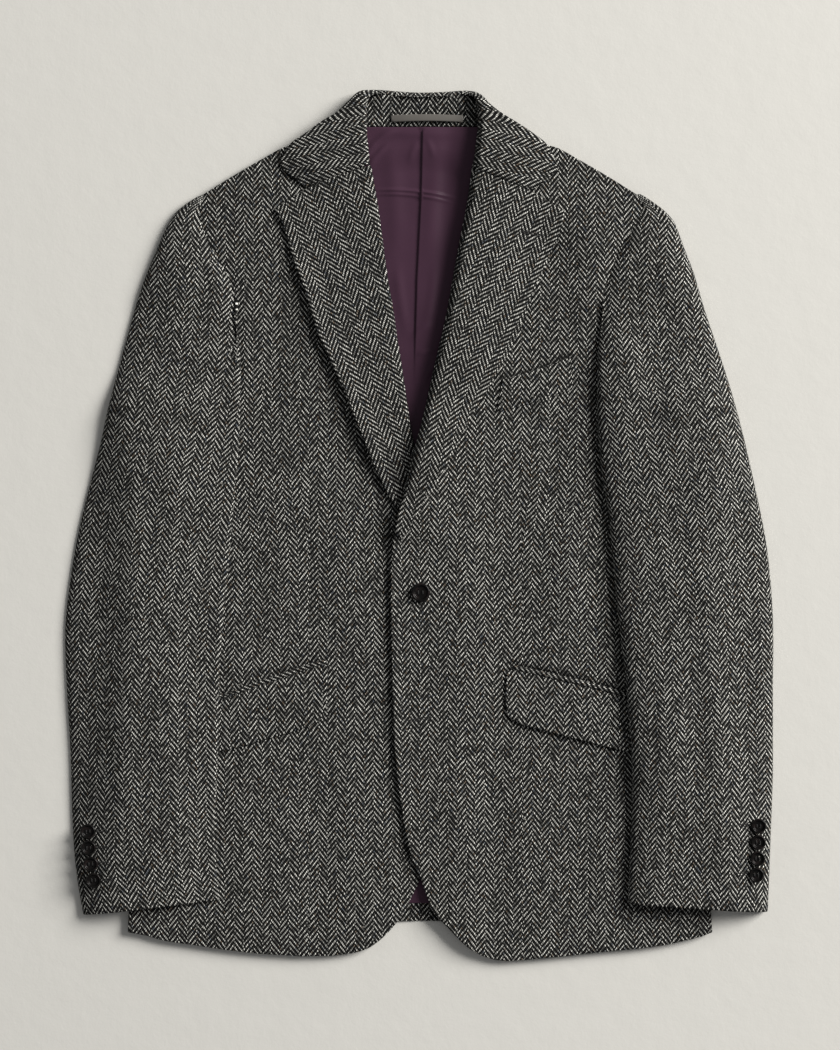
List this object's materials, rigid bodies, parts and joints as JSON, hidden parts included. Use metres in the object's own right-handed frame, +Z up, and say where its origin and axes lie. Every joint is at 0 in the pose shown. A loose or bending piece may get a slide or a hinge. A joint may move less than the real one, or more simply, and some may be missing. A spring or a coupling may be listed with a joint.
{
  "type": "tweed hacking jacket",
  "caption": "Single-breasted herringbone tweed jacket laid flat, buttoned, with notch lapels, slanted flap pockets, chest welt and kissing cuff buttons.",
  "frame": {"origin": "bottom centre of the whole jacket's box, on the surface it lies on", "axes": "+Y from hem to collar, +X to the wearer's left (the viewer's right), +Z up from the surface through the cloth"},
  "size_m": [0.6722, 0.8303, 0.0193],
  "materials": {
    "tweed": "woollen herringbone tweed in black and off-white yarn, matt and hairy",
    "lining": "plum satin lining with a soft sheen",
    "loop": "grey satin tape",
    "button": "near-black horn-like resin, half gloss"
  },
  "bodies": {
    "root": {"back_left": "tweed", "back_right": "tweed", "front_left": "tweed", "front_right": "tweed", "lapel_left": "tweed", "lapel_right": "tweed", "collar": "tweed", "collar_stand": "tweed", "sleeve_top_left": "tweed", "sleeve_top_right": "tweed", "sleeve_under_left": "tweed", "sleeve_under_right": "tweed", "flap_left": "tweed", "flap_right": "tweed", "jet_left": "tweed", "jet_right": "tweed", "chest_welt": "tweed", "lining_back": "lining", "hanger_loop": "loop", "button_front": "button", "button_cuff_left_1": "button", "button_cuff_left_2": "button", "button_cuff_left_3": "button", "button_cuff_left_4": "button", "button_cuff_right_1": "button", "button_cuff_right_2": "button", "button_cuff_right_3": "button", "button_cuff_right_4": "button"}
  },
  "joints": []
}
